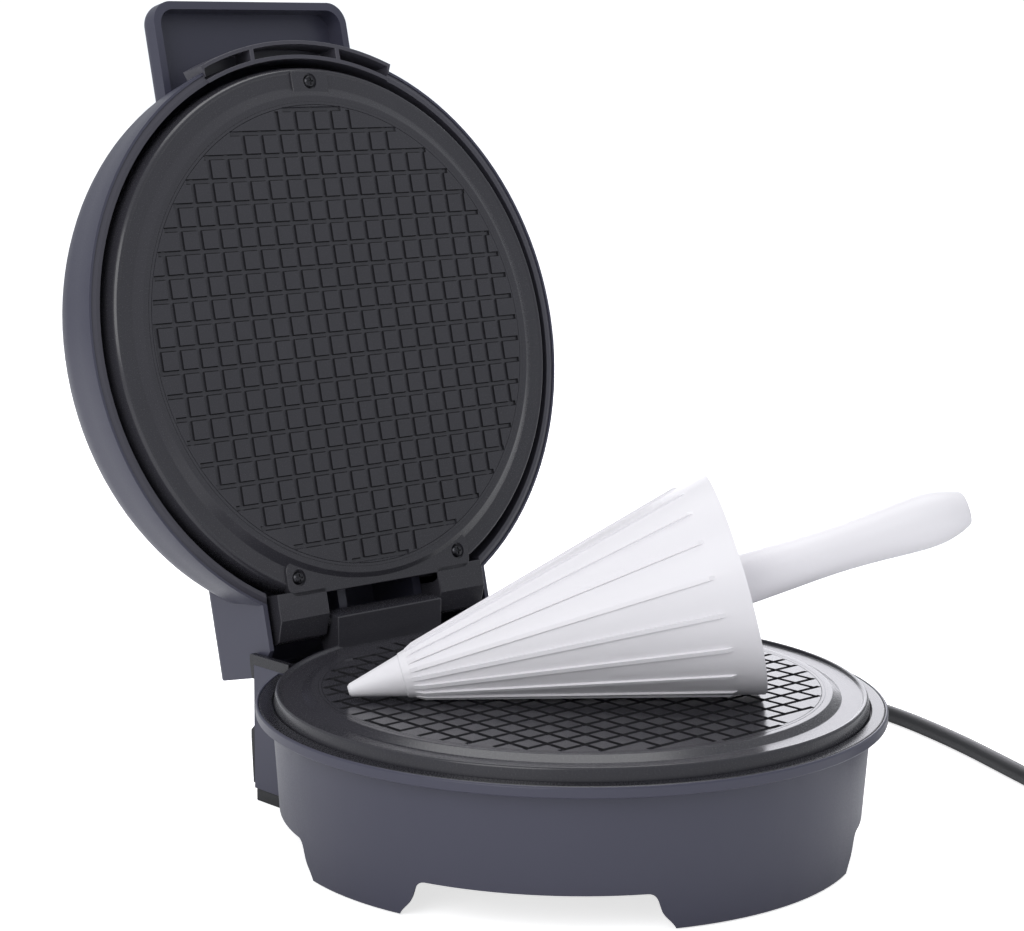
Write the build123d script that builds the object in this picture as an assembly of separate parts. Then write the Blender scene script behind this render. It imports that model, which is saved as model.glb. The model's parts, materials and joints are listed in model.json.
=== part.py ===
from build123d import *
import math
import os

# Waffle cone maker: a round hinged appliance standing open, with its cone roller.
# Millimetres. +Z up, floor at z = 0, front at -Y, hinge at +Y. Everything is drawn about the
# middle of the base and then moved by FRAME_Y, so that the origin is under the middle of the
# whole open machine. Lid parts are built closed and then swung open about the hinge pin.

os.makedirs("parts", exist_ok=True)

# ---- driving dimensions -------------------------------------------------------------
FRAME_Y = -43.2           # from the middle of the base to the frame's origin, negated
FLANGE_R = 116.0          # rim of base and lid
FLANGE_Z = 53.6           # top of the base rim
CLOSED_GAP = 11.6         # base rim to lid rim when shut
LID_Z = FLANGE_Z + CLOSED_GAP
OPEN_ANGLE = 103.8        # swing of the lid, shut to open
PIN_Y, PIN_Z, PIN_R, PIN_PLAY = 111.3, 67.0, 2.5, 0.06
WALL = 2.4                # plastic wall
SHELL_FOOT_Z = 0.6        # housing stands this far off the floor, on rubber pads

WALL_TOP_R, WALL_FOOT_R = 110.0, 106.5
RIM_T = 4.0               # height of the base rim
SEAT_DEPTH = 2.2          # seat for the trim ring and the plate skirt
RING_IN_R, RING_OUT_R = 109.9, 115.0
FOOT_ARCH_H = 13.7
# openings between the feet, in degrees about Z from -Y, and how far each end slopes
ARCH_SPANS = ((24.0, 76.5), (101.5, 143.0), (-76.5, -24.0), (-143.0, -101.5))
FOOT_FLARE = 5.5

REAR_X, REAR_Y, REAR_LOW_Z = 60.0, 114.2, 46.8
CHEEK_X, CHEEK_Z = REAR_X - WALL, 54.0
FLOOR_Z0, FLOOR_T = 14.5, 2.5
TAB_R, TAB_ANGLES = 99.5, (-90, 35, 145)
POST_R, POST_ANGLES = 97.5, (-60, -120, 20, 160)
LEG_R, LEG_ANGLES, PAD_T = 92.0, (-104, -76, -1, 181), 2.5
REAR_FOOT_H = 5.0

DISC_R, DISC_Z = 95.5, 58.9
STEP_R, STEP_H = 99.2, 1.9
PLATE_T = 4.5
LOW_PLATE_R, UP_PLATE_R = 108.7, 106.9
UP_DISC_H = -5.0          # lid plate face, below the lid rim
PAD_H = -4.0
EAR_IN_X, EAR_OUT_X = 28.5, 52.3
LUG_X = 26.6
LUG_Y, LUG_TOP = 103.6, 69.7
SCREW_R, SCREW_HEAD_R, SCREW_SINK = 101.5, 2.6, 1.3
SCREW_ANGLES = (-88.8, 66.3, 113.7)

LID_H, LID_CORNER_R, LID_WALL_R = 36.0, 20.6, 114.5
BOX_X, BOX_Y, BOX_H = 57.0, 128.7, 37.0
GRIP_X, GRIP_Y, GRIP_LOW, GRIP_TOP = 48.5, 140.3, 24.0, 35.2
LIP_R, LIP_HALF_ANGLE, LIP_WALL = 118.8, 23.8, 1.6
LIP_DEPTH, LIP_SEAT, LIP_END_X, LIP_RIBS = 11.0, 3.6, 46.0, (-22.0, 21.0)
LID_RING_IN, LID_WALL = 111.3, 2.0
HINGE_RIBS = (-13.9, 24.9)
LIGHT_X, LIGHT_Y, LIGHT_R = (-9.0, 9.0), -20.0, 3.0

HEATER_R, HEATER_WIRE_R, HEATER_ARC = 68.0, 3.3, 335
CLAMP_ANGLES, CLAMP_SCREW_OUT = (-30, 90 + 120, 90), 10.5

CONE_HALF, CONE_L, CONE_TIP_R = 15.1, 143.6, 2.3
CONE_AT = (-77.8, 34.2)
CONE_DIR = -36.9
HANDLE_L, HANDLE_LEAN = 92.8, 2.3
RIB_COUNT, RIB_W, RIB_H = 18, 1.5, 0.8
NOSE_L, NOSE_STEP, RIB_STOP, CONE_GAP = 20.0, 0.5, 10.0, 0.9

CORD_R = 3.5
CORD_EXIT_X, CORD_EXIT_Z = 38.0, 19.0
RELIEF_R0, RELIEF_R1, RELIEF_END_Y = 6.4, 4.4, 146.0
COIL_AT = (209.0, -121.0)
# cord from the sleeve to the coil, and from the coil to the plug
CORD_ROUTE = (
    (38, 146, 19), (40, 178, 14), (58, 210, 4.2), (98, 228, 3.5), (142, 218, 3.5), (180, 186, 3.5),
    (206, 140, 3.5), (221, 88, 3.5), (221, 34, 3.5), (206, -18, 3.5), (186, -66, 3.5), (170, -105.5, 3.5),
)
TAIL_ROUTE = ((229.6, -153.5, 10.5), (247, -142, 10.6), (262, -122, 8.4), (268, -98, 7), (267, -72, 7))
PLUG_TURN = 92.0

UP = (0, 0, 1)


def disc(r, z0, z1, x=0.0, y=0.0):
    """Upright cylinder between two heights."""
    return Pos(x, y, (z0 + z1) / 2) * Cylinder(r, z1 - z0)


def block(x0, x1, y0, y1, z0, z1):
    """Box given by its limits."""
    return Pos((x0 + x1) / 2, (y0 + y1) / 2, (z0 + z1) / 2) * Box(x1 - x0, y1 - y0, z1 - z0)


def turned(points, arc=360):
    """Solid of revolution about Z of an (r, z) outline."""
    outline = Plane.XZ * make_face(Polyline(*points, close=True))
    return revolve(outline, Axis.Z, arc)


def xbar(points, x0, x1):
    """Prism along X of a (y, z) outline."""
    face = Plane.YZ * make_face(Polyline(*points, close=True))
    return Pos(x0, 0, 0) * extrude(face, amount=x1 - x0, dir=(1, 0, 0))


def xrod(r, x0, x1, y, z):
    return Pos((x0 + x1) / 2, y, z) * Rot(0, 90, 0) * Cylinder(r, x1 - x0)


def at_angle(r, degrees):
    return r * math.cos(math.radians(degrees)), r * math.sin(math.radians(degrees))


def opened(shape):
    """Swing a lid part from shut to its open stop."""
    return shape.rotate(Axis((0, PIN_Y, PIN_Z), (-1, 0, 0)), OPEN_ANGLE)


def lid(shape):
    """Place a part drawn with z = 0 at the lid rim, and open it."""
    return opened(Pos(0, 0, LID_Z) * shape)


written = []


def save(shape, node):
    solids = shape.solids() if not isinstance(shape, list) else [s for p in shape for s in p.solids()]
    item = Pos(0, FRAME_Y, 0) * (solids[0] if len(solids) == 1 else Compound(solids))
    export_step(item, f"parts/{node}.step")
    written.append((node, len(solids)))


# ---- base housing -------------------------------------------------------------------
def foot_arches():
    """Cutters between the feet: a flat top and S-shaped ends, cut along each span's radius."""
    cutters = []
    for low, high in ARCH_SPANS:
        middle, half = (low + high) / 2, (high - low) / 2
        foot_x = WALL_FOOT_R * math.sin(math.radians(half))
        top_x = WALL_FOOT_R * math.sin(math.radians(half - FOOT_FLARE))
        mid_x, mid_z = (foot_x + top_x) / 2, FOOT_ARCH_H / 2
        top = FOOT_ARCH_H
        right = Spline((foot_x, 0), (mid_x, mid_z), (top_x, top), tangents=((-0.3, 1), (-1, 0.05)))
        left = Spline((-top_x, top), (-mid_x, mid_z), (-foot_x, 0), tangents=((-1, -0.05), (-0.3, -1)))
        roof = Line((top_x, FOOT_ARCH_H), (-top_x, FOOT_ARCH_H))
        below = Polyline((-foot_x, 0), (-foot_x, -2), (foot_x, -2), (foot_x, 0))
        face = Plane.XZ * make_face([right, roof, left, below])
        # Plane.XZ looks along -Y, so the prism runs outwards from the middle of the base
        prism = extrude(face, amount=130, dir=(0, -1, 0))
        cutters.append(Rot(0, 0, middle) * prism)
    return cutters


def housing_outline(inset):
    """Half section of the round body, as (r, z), moved inwards by inset."""
    slope = (WALL_TOP_R - WALL_FOOT_R) / (FLANGE_Z - RIM_T)
    return [(WALL_FOOT_R - inset - slope * 5, -5), (WALL_TOP_R - inset, FLANGE_Z - RIM_T)]


def base_shell():
    seat_z, rim_z = FLANGE_Z - SEAT_DEPTH, FLANGE_Z - RIM_T
    foot = WALL_FOOT_R + SHELL_FOOT_Z * (WALL_TOP_R - WALL_FOOT_R) / rim_z
    wall = turned([
        (foot, SHELL_FOOT_Z), (WALL_TOP_R, rim_z), (FLANGE_R - 0.5, rim_z), (FLANGE_R, rim_z + 0.5),
        (FLANGE_R, FLANGE_Z - 0.5), (FLANGE_R - 0.5, FLANGE_Z), (RING_OUT_R, FLANGE_Z),
        (RING_OUT_R, seat_z), (WALL_TOP_R - WALL, seat_z), (WALL_TOP_R - WALL, rim_z),
        (foot - WALL, SHELL_FOOT_Z),
    ])
    for cutter in foot_arches():
        wall -= cutter
    # the rear box opens into the round body, and its top is cut away for the hinge
    box = block(-REAR_X, REAR_X, 70, REAR_Y, REAR_FOOT_H, CHEEK_Z)
    box -= turned([(0, -5)] + housing_outline(0.6) + [(WALL_TOP_R - 0.6, 70), (0, 70)])
    inner = block(-REAR_X + WALL, REAR_X - WALL, 0, REAR_Y - WALL, -5, 100)
    trough = block(-REAR_X + WALL, REAR_X - WALL, 0, 200, REAR_LOW_Z, 100)
    rear_gap = block(-REAR_X, REAR_X, 70, 200, FLANGE_Z - RIM_T, 100)
    shell = (wall - inner - rear_gap) + (box - inner - trough)
    for angle in TAB_ANGLES:
        # tab under the cooking plate, and a post for the floor screws below it
        tab = Rot(0, 0, angle) * (
            block(TAB_R - 7, WALL_TOP_R - 1, -7, 7, seat_z - 2.5, seat_z) - disc(1.8, 40, 60, TAB_R, 0)
        )
        shell += tab
    for angle in POST_ANGLES:
        post = disc(4.5, FLOOR_Z0 + FLOOR_T, 40, POST_R, 0)
        post += block(POST_R, WALL_TOP_R - 3.5, -1.5, 1.5, FLOOR_Z0 + FLOOR_T, 40)
        shell += Rot(0, 0, angle) * (post - disc(1.4, 0, 30, POST_R, 0))
    return shell


def base_floor():
    """Bottom cover with vent slots and four short legs for the rubber pads."""
    cover = disc(103.3, FLOOR_Z0, FLOOR_Z0 + FLOOR_T)
    cover += block(-57.2, 57.2, 40, REAR_Y - WALL - 0.3, FLOOR_Z0, FLOOR_Z0 + FLOOR_T)
    for angle in POST_ANGLES:
        cover -= disc(1.7, 0, 30, *at_angle(POST_R, angle))
    for x in range(-40, 41, 20):
        cover -= block(x - 2, x + 2, -30, 30, 0, 30)
    for angle in LEG_ANGLES:
        cover += disc(7, PAD_T, FLOOR_Z0, *at_angle(LEG_R, angle))
    return cover - block(CORD_EXIT_X - 9, CORD_EXIT_X + 9, 100, 200, 0, 40)


def trim_ring():
    """Satin ring set into the rim of the base, open at the hinge."""
    ring = turned([
        (RING_IN_R, FLANGE_Z - SEAT_DEPTH), (RING_OUT_R, FLANGE_Z - SEAT_DEPTH),
        (RING_OUT_R, FLANGE_Z - 0.4), (RING_OUT_R - 0.4, FLANGE_Z), (RING_IN_R, FLANGE_Z),
    ])
    return ring - block(-REAR_X, REAR_X, 50, 200, 0, 100)


def hinge_cover():
    """Dark saddle over the rear box: two cheeks, and a sloping floor that the lid swings above."""
    cheek = [(90, 54), (REAR_Y, 54), (REAR_Y, 48.5), (115.4, 48.5), (116.5, 53.5), (116.8, 57.4),
             (116.2, 58), (90, 58)]
    cover = xbar(cheek, -REAR_X, -CHEEK_X) + xbar(cheek, CHEEK_X, REAR_X)
    wall_y = REAR_Y - WALL
    floor = [(88, 58), (97, 56.8), (106, 52.5), (wall_y, REAR_LOW_Z + 1.2), (REAR_Y, REAR_LOW_Z + 1.2),
             (REAR_Y, REAR_LOW_Z), (wall_y, REAR_LOW_Z), (wall_y, REAR_LOW_Z - 1.2), (105.3, 50.3),
             (96.5, 54.4), (88, 55.6)]
    cover += xbar(floor, -CHEEK_X, CHEEK_X)
    cover -= disc(WALL_TOP_R + 0.2, 40, 100)
    cover -= block(-LUG_X - 0.7, LUG_X + 0.7, 100, 117.6, 49.8, 100)
    return cover


def rear_feet():
    return [block(side * 53 - 6.6, side * 53 + 6.6, 93, 113.6, 0, REAR_FOOT_H) for side in (-1, 1)]


def cord_bar():
    """Bar across the lower back, with two horns that the cord is wound on."""
    bar = xbar([(REAR_Y, 7), (REAR_Y + 0.8, 7), (116.3, 25), (116.3, 28), (REAR_Y, 30)], -REAR_X, REAR_X)
    bar -= Pos(CORD_EXIT_X, 0, CORD_EXIT_Z) * Rot(90, 0, 0) * Cylinder(RELIEF_R0, 400)
    return bar


# ---- cooking plates -----------------------------------------------------------------
def lower_plate():
    """Cast plate: disc, drip channel, lip and skirt, with the middle hinge lug at the back."""
    back, r = DISC_Z - PLATE_T, LOW_PLATE_R
    step = DISC_Z - STEP_H
    plate = turned([
        (0, DISC_Z), (DISC_R, DISC_Z), (STEP_R, step), (r - 2.3, step), (r - 1.5, step + 1.1),
        (r - 0.6, step + 1.2), (r, step + 0.6), (r + 0.7, FLANGE_Z), (r + 0.7, FLANGE_Z - SEAT_DEPTH + 0.2),
        (r - 1.9, FLANGE_Z - SEAT_DEPTH + 0.2), (r - 1.9, back), (0, back),
    ])
    lug = xbar([(LUG_Y, 52.4), (LUG_Y, LUG_TOP - 0.5), (LUG_Y + 0.5, LUG_TOP), (113.6, LUG_TOP + 0.6),
                (116.8, 68), (116.8, 62), (112, 52.4)], -LUG_X, LUG_X)
    plate += lug
    for angle in TAB_ANGLES:
        x, y = at_angle(TAB_R, angle)
        plate += disc(4, FLANGE_Z - SEAT_DEPTH, back + 0.5, x, y)
        plate -= disc(1.6, 40, DISC_Z - STEP_H - 1.2, x, y)
    plate -= xrod(PIN_R, -80, 80, PIN_Y, PIN_Z)
    return plate


def upper_plate():
    """Lid plate, drawn with z = 0 at the lid rim: its face looks down. Two hinge ears are cast on."""
    face, r = UP_DISC_H, UP_PLATE_R
    step, back = face + STEP_H, face + PLATE_T
    plate = turned([
        (0, face), (DISC_R, face), (STEP_R, step), (r - 2.3, step), (r - 1.5, step - 0.4),
        (r - 0.8, step - 0.3), (r, step + 0.7), (r + 0.8, 0), (r + 1.0, 8), (r - 1.6, 8),
        (r - 1.6, back), (0, back),
    ])
    pad_x = SCREW_R * math.cos(math.radians(SCREW_ANGLES[0]))
    plate += block(pad_x - 9, pad_x + 9, -104.6, -94, PAD_H, back)
    plate += block(-EAR_OUT_X, EAR_OUT_X, 85, 100.2, PAD_H, back)
    ear = [(98, PAD_H), (108.5, PAD_H), (116.5, 0), (117.6, 3), (116.5, 6.8), (113, 8.2), (98, 8.2)]
    plate -= block(-EAR_IN_X, EAR_IN_X, 100.2, 130, -20, 30)
    for side in (-1, 1):
        low, high = sorted((side * EAR_IN_X, side * EAR_OUT_X))
        plate += xbar(ear, low, high)
    for angle in SCREW_ANGLES:
        x, y = at_angle(SCREW_R, angle)
        plate -= disc(1.5, -20, 20, x, y) + disc(SCREW_HEAD_R + 0.6, -20, PAD_H + SCREW_SINK, x, y)
    plate -= xrod(PIN_R + PIN_PLAY, -80, 80, PIN_Y, PIN_Z - LID_Z)
    return plate


def plate_screw():
    """Pan head screw with a cross recess, head down, drawn with z = 0 under its head."""
    screw = disc(1.5, 0, 11)
    r = SCREW_HEAD_R
    head = turned([(0, 0), (r, 0), (r, -0.7), (r - 0.6, -1.5), (1.1, -1.8), (0, -1.8)])
    cross = block(-1.6, 1.6, -0.35, 0.35, -3, -0.9) + block(-0.35, 0.35, -1.6, 1.6, -3, -0.9)
    return screw + (head - cross)


# ---- heating parts, drawn with z = 0 on the back of a plate and +Z away from it ------
def heater():
    ring = revolve(Plane.XZ * Pos(HEATER_R, HEATER_WIRE_R) * Circle(HEATER_WIRE_R), Axis.Z, HEATER_ARC)
    for angle in (3, HEATER_ARC - 3):
        ring += disc(2.2, HEATER_WIRE_R, 13, *at_angle(HEATER_R, angle))
    return Rot(0, 0, 90 + (360 - HEATER_ARC) / 2) * ring


def clamps():
    """Flat bars that hold the element against the plate."""
    low = 2 * HEATER_WIRE_R
    bar = block(HEATER_R - 15, HEATER_R + 15, -4.5, 4.5, low, low + 1.5)
    for side in (-1, 1):
        bar -= disc(1.5, 0, 20, HEATER_R + side * CLAMP_SCREW_OUT, 0)
    return [Rot(0, 0, angle) * bar for angle in CLAMP_ANGLES]


def clamp_screws():
    low = 2 * HEATER_WIRE_R + 1.5
    found = []
    for angle in CLAMP_ANGLES:
        for side in (-1, 1):
            r = HEATER_R + side * CLAMP_SCREW_OUT
            screw = disc(1.5, 0, low, r, 0) + disc(2.8, low, low + 1.8, r, 0)
            found.append(Rot(0, 0, angle) * screw)
    return found


def reflector():
    """Thin dish that keeps the heat off the housing."""
    return turned([(0, 16), (87, 16), (92, 8), (92.9, 8.4), (87.6, 16.9), (0, 16.9)])


def thermostat():
    """Disc thermostat on its flange, with two blade terminals."""
    body = disc(8.5, 1, 8) + block(-13, 13, -5, 5, 0, 1)
    body += block(-6, -5.2, -2.4, 2.4, 8, 14) + block(5.2, 6, -2.4, 2.4, 8, 14)
    return Pos(0, -22, 0) * body


def thermal_fuse():
    """Fuse in its sleeve, lying on the plate beside the thermostat."""
    return Pos(0, 20, 0) * (xrod(2.4, -14, 14, 0, 2.4) + xrod(0.8, -26, 26, 0, 2.4))


HEATING = {
    "heater": heater, "clamps": clamps, "clamp_screws": clamp_screws,
    "reflector": reflector, "thermostat": thermostat, "thermal_fuse": thermal_fuse,
}


# ---- lid ----------------------------------------------------------------------------
def dome(inset):
    """Solid of revolution that fills the lid, moved inwards by inset."""
    top, side, corner = LID_H - inset, LID_WALL_R - inset, LID_CORNER_R - inset
    centre_r, centre_z = side - corner, top - corner
    bend = math.sqrt(0.5) * corner
    foot_r = FLANGE_R - (inset * 1.2)
    outline = [
        Line((0, -3), (foot_r, -3)), Line((foot_r, -3), (foot_r, 3.5)),
        Line((foot_r, 3.5), (side, centre_z)),
        ThreePointArc((side, centre_z), (centre_r + bend, centre_z + bend), (centre_r, top)),
        Line((centre_r, top), (0, top + 0.5)), Line((0, top + 0.5), (0, -3)),
    ]
    return revolve(Plane.XZ * make_face(outline), Axis.Z)


def rear_box(inset):
    """Block over the hinge, with a rounded top, moved inwards by inset."""
    x, y, top = BOX_X - inset, BOX_Y - inset, BOX_H - inset
    prism = xbar([(45, -5), (119 - inset, -5), (119 - inset, 0), (y, 10), (y, top), (45, top)], -x, x)
    crest = prism.edges().filter_by(Axis.X).group_by(Axis.Z)[-1].sort_by(Axis.Y)[-1]
    sides = [e for e in prism.edges().filter_by(Axis.Y) if e.center().Z > top - 0.1]
    return fillet([crest] + sides, 4 - inset)


def front_lip(z0, z1, r0, r1):
    """Sector of the front lip between two heights and two radii."""
    ring = disc(r1, z0, z1) - disc(r0, z0 - 1, z1 + 1)
    reach = 200
    edge = [at_angle(reach, -90 + side * LIP_HALF_ANGLE) for side in (-1, 1)]
    wedge = make_face(Polyline((0, 0), edge[0], (0, -reach), edge[1], close=True))
    return ring & Pos(0, 0, z0 - 1) * extrude(wedge, amount=z1 - z0 + 2, dir=UP)


def lid_shell():
    shell = dome(0) - block(-200, 200, -200, 200, -10, 0)
    shell += rear_box(0) - block(-200, 200, -200, 104, -10, 0) - block(-200, 200, 0, 200, -10, 0)
    shell -= dome(LID_WALL)
    shell -= rear_box(LID_WALL)
    shell -= block(-BOX_X + LID_WALL, BOX_X - LID_WALL, 60, BOX_Y - LID_WALL, -5, 10)
    shell -= turned([(100, -1), (RING_OUT_R, -1), (RING_OUT_R, LIP_SEAT), (100, LIP_SEAT)])
    shell -= front_lip(-2, LIP_DEPTH, RING_IN_R, LIP_R + 5)
    inside = dome(0.5) + rear_box(0.5)
    for angle in SCREW_ANGLES:
        x, y = at_angle(SCREW_R, angle)
        post = disc(3.6, UP_DISC_H + PLATE_T, 40, x, y) & inside
        shell += post - disc(1.5, -10, 9, x, y)
    for x in HINGE_RIBS:
        shell += block(x, x + 4, 99, 112, 8.6, 36)
    for x in LIGHT_X:
        shell -= disc(LIGHT_R, 30, 45, x, LIGHT_Y)
    return shell


def lid_frame():
    """Dark ring inside the lid rim, with the three-pocket lip at the front, open at the hinge."""
    ring = turned([
        (LID_RING_IN, -0.2), (LID_RING_IN + 1.7, -0.2), (RING_OUT_R, 0.5), (RING_OUT_R, LIP_SEAT),
        (LID_RING_IN + 1.2, LIP_SEAT), (LID_RING_IN + 1.2, 12), (LID_RING_IN, 12),
    ])
    ring -= block(-EAR_OUT_X - 2.4, EAR_OUT_X + 2.4, 50, 200, -5, 20)
    lip = front_lip(-0.9, LIP_DEPTH, RING_IN_R + 1.4, LIP_R)
    pocket = front_lip(-3, LIP_DEPTH - LIP_WALL, LID_RING_IN + 1.7, LIP_R - LIP_WALL)
    pocket -= block(-200, -LIP_END_X, -200, 0, -5, 20) + block(LIP_END_X, 200, -200, 0, -5, 20)
    for x in LIP_RIBS:
        pocket -= block(x - 1, x + 1, -200, 0, -5, 20)
    return ring + lip - pocket


def grip():
    """Front handle: a dished plate on the level of the lid's top, with a band that laps over the dome."""
    body = block(-GRIP_X, GRIP_X, -GRIP_Y, -45, GRIP_LOW, GRIP_TOP)
    corners = [e for e in body.edges().filter_by(Axis.Z) if e.center().Y < -100]
    body = fillet(corners, 9)
    top_edges = [e for e in body.faces().sort_by(Axis.Z)[-1].edges() if e.center().Y < -46]
    body = fillet(top_edges, 6)
    recess = block(-GRIP_X + 3.2, GRIP_X - 3.2, -GRIP_Y + 3.2, -60, GRIP_LOW - 2, GRIP_LOW + 8.5)
    corners = [e for e in recess.edges().filter_by(Axis.Z) if e.center().Y < -100]
    recess = fillet(corners, 6.5)
    return body - dome(0) - recess


def light(x):
    """Indicator lens with a collar under the lid's top skin."""
    r = LIGHT_R - 0.1
    lens = turned([(0, 30), (4.2, 30), (4.2, 34.3), (r, 34.3), (r, 38.2), (2, 38.9), (0, 39.1)])
    return Pos(x, LIGHT_Y, 0) * lens


# ---- cone roller, drawn standing on its tip -----------------------------------------
def cone_r(s):
    """Outer radius at a distance from the tip."""
    return CONE_TIP_R + s * math.tan(math.radians(CONE_HALF))


def roller_cone():
    step, inner = NOSE_STEP, 2.2
    cone = turned([
        (0, 0), (CONE_TIP_R - 0.7, 0), (CONE_TIP_R + 0.1, 0.8), (cone_r(NOSE_L), NOSE_L),
        (cone_r(NOSE_L) + step, NOSE_L + 0.4), (cone_r(CONE_L) + step, CONE_L),
        (cone_r(CONE_L) - inner, CONE_L), (cone_r(26) - inner, 26), (0, 24),
    ])
    start, end = NOSE_L + 3, CONE_L - RIB_STOP
    rib = make_face(Polyline(
        (cone_r(start) - 0.5, start), (cone_r(start) + step, start),
        (cone_r(start + 3) + step + RIB_H, start + 3), (cone_r(end - 2) + step + RIB_H, end - 2),
        (cone_r(end) + step, end), (cone_r(end) - 0.5, end), close=True))
    prism = extrude(Plane.XZ * rib, amount=RIB_W / 2, both=True)
    for k in range(RIB_COUNT):
        cone += Rot(0, 0, (k + 0.5) * 360 / RIB_COUNT) * prism
    return cone


def roller_handle():
    """Turned grip, leaning a little, on a plate that plugs the cone's mouth."""
    plug_r = cone_r(CONE_L - 6) - 2.3
    plate = turned([(0, CONE_L - 6), (plug_r, CONE_L - 6), (plug_r + 0.67, CONE_L - 3.5), (0, CONE_L - 3.5)])
    outline = [
        Polyline((0, HANDLE_L), (0, 0), (9.4, 0)),
        Spline((9.4, 0), (8.7, 25), (8.3, 41), (8.9, 58), (9.9, 73), (9.2, 84), (6.4, HANDLE_L - 0.7),
               tangents=((-0.02, 1), (-0.55, 1))),
        Polyline((6.4, HANDLE_L - 0.7), (5.6, HANDLE_L), (0, HANDLE_L)),
    ]
    bar = revolve(Plane.XZ * make_face(outline), Axis.Z)
    return plate + Pos(0, 0, CONE_L - 3.5) * Rot(0, -HANDLE_LEAN, 0) * bar


def on_plate(shape):
    """Lay the roller on the lower plate, its lowest side level."""
    rise = DISC_Z + CONE_GAP + (CONE_TIP_R + NOSE_STEP) * math.cos(math.radians(CONE_HALF))
    place = Pos(CONE_AT[0], CONE_AT[1], rise) * Rot(0, 0, CONE_DIR) * Rot(0, 90 - CONE_HALF, 0)
    return place * shape


# ---- power cord ---------------------------------------------------------------------
def tube(points, name):
    """Round cord along straight runs joined by the largest arcs they allow."""
    stops = [Vector(*p) for p in points]
    radii = []
    for before, here, after in zip(stops, stops[1:], stops[2:]):
        turn = (here - before).get_angle(after - here)
        run = min((here - before).length, (after - here).length)
        radii.append(0.45 * run / math.tan(math.radians(turn / 2)))
    print(name, "bend radii", [round(r) for r in radii])
    path = FilletPolyline(*stops, radius=radii)
    start = Plane(origin=path @ 0, z_dir=path % 0)
    cord = sweep(start * Circle(CORD_R), path=path)
    ratio = cord.volume / (math.pi * CORD_R ** 2 * path.length)
    print(name, "length", round(path.length, 1), "volume ratio", ratio)
    return cord


def strain_relief():
    """Tapered sleeve behind the housing, with a flange inside the wall."""
    sleeve = Pos(CORD_EXIT_X, 0, CORD_EXIT_Z) * Rot(-90, 0, 0) * turned([
        (CORD_R, REAR_Y - 8), (8, REAR_Y - 8), (8, REAR_Y - WALL - 0.1), (RELIEF_R0, REAR_Y - WALL - 0.1),
        (RELIEF_R0, REAR_Y + 4), (RELIEF_R1, RELIEF_END_Y), (CORD_R, RELIEF_END_Y),
    ])
    return sleeve


def plug():
    """Flat two-pin plug with a ribbed neck; drawn along +X from the cord's end."""
    body = Pos(22, 0, 0) * Box(26, 25, 13)
    body = fillet(body.edges().filter_by(Axis.X), 4)
    neck = Rot(0, 90, 0) * turned([(0, 0), (5, 0), (6.3, 9.2), (0, 9.2)])
    return body + neck


def plug_blades():
    blades = []
    for side in (-1, 1):
        blades.append(block(35, 51, side * 6.35 - 0.75, side * 6.35 + 0.75, -3.2, 3.2))
    return blades


# ---- write every piece --------------------------------------------------------------
base = base_shell()
base -= Pos(CORD_EXIT_X, REAR_Y, CORD_EXIT_Z) * Rot(90, 0, 0) * Cylinder(RELIEF_R0, 20)
save(base, "base_shell")
save(base_floor(), "base_floor")
save([disc(5.5, 0, PAD_T, *at_angle(LEG_R, a)) for a in LEG_ANGLES], "rubber_pads")
save([disc(1.4, FLOOR_Z0, 28, *at_angle(POST_R, a)) + disc(3, FLOOR_Z0 - 1.8, FLOOR_Z0, *at_angle(POST_R, a))
      for a in POST_ANGLES], "floor_screws")
save(rear_feet(), "rear_feet")
save(cord_bar(), "cord_bar")
save(trim_ring(), "base_trim_ring")
save(hinge_cover(), "hinge_cover")
save(lower_plate(), "lower_plate")
seat = FLANGE_Z - SEAT_DEPTH
save([disc(1.6, seat - 2.5, DISC_Z - STEP_H - 1.2, *at_angle(TAB_R, a))
      + disc(3, seat - 4.3, seat - 2.5, *at_angle(TAB_R, a)) for a in TAB_ANGLES], "lower_plate_screws")
save(xrod(PIN_R, -EAR_OUT_X + 0.3, EAR_OUT_X - 0.3, PIN_Y, PIN_Z), "hinge_pin")
save(block(-22, 22, 78, 90, 17, 33), "terminal_block")

for name, make in HEATING.items():
    made = make()
    group = made if isinstance(made, list) else [made]
    under = [mirror(s, about=Plane.XY) for s in group]
    save([Pos(0, 0, DISC_Z - PLATE_T) * s for s in under], f"lower_{name}")
    save([lid(Pos(0, 0, UP_DISC_H + PLATE_T) * s) for s in group], f"upper_{name}")

save(lid(lid_shell()), "lid_shell")
save(lid(lid_frame()), "lid_frame")
save(lid(grip()), "grip")
save(lid(upper_plate()), "upper_plate")
save([lid(Pos(*at_angle(SCREW_R, a), PAD_H + SCREW_SINK) * plate_screw()) for a in SCREW_ANGLES],
     "upper_plate_screws")
save(lid(light(LIGHT_X[0])), "power_light")
save(lid(light(LIGHT_X[1])), "ready_light")

save(on_plate(roller_cone()), "roller_cone")
save(on_plate(roller_handle()), "roller_handle")

save(strain_relief(), "strain_relief")
save(tube(CORD_ROUTE, "power_cord"), "power_cord")
save(Pos(*COIL_AT, 0) * turned([
    (31.3, 0), (45.7, 0), (45.7, 7), (42.2, 8.5), (42.2, 14), (34.8, 14), (34.8, 8.5), (31.3, 7),
]), "cord_coil")
save(tube(TAIL_ROUTE, "cord_tail"), "cord_tail")
plug_at = Pos(*TAIL_ROUTE[-1]) * Rot(0, 0, PLUG_TURN)
save(plug_at * plug(), "plug_body")
save([plug_at * b for b in plug_blades()], "plug_blades")
print(len(written), "nodes", written)
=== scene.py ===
import json
import math

import bmesh
import bpy
from bpy.props import FloatProperty, FloatVectorProperty, IntProperty, PointerProperty
from mathutils import Matrix, Vector

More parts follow.
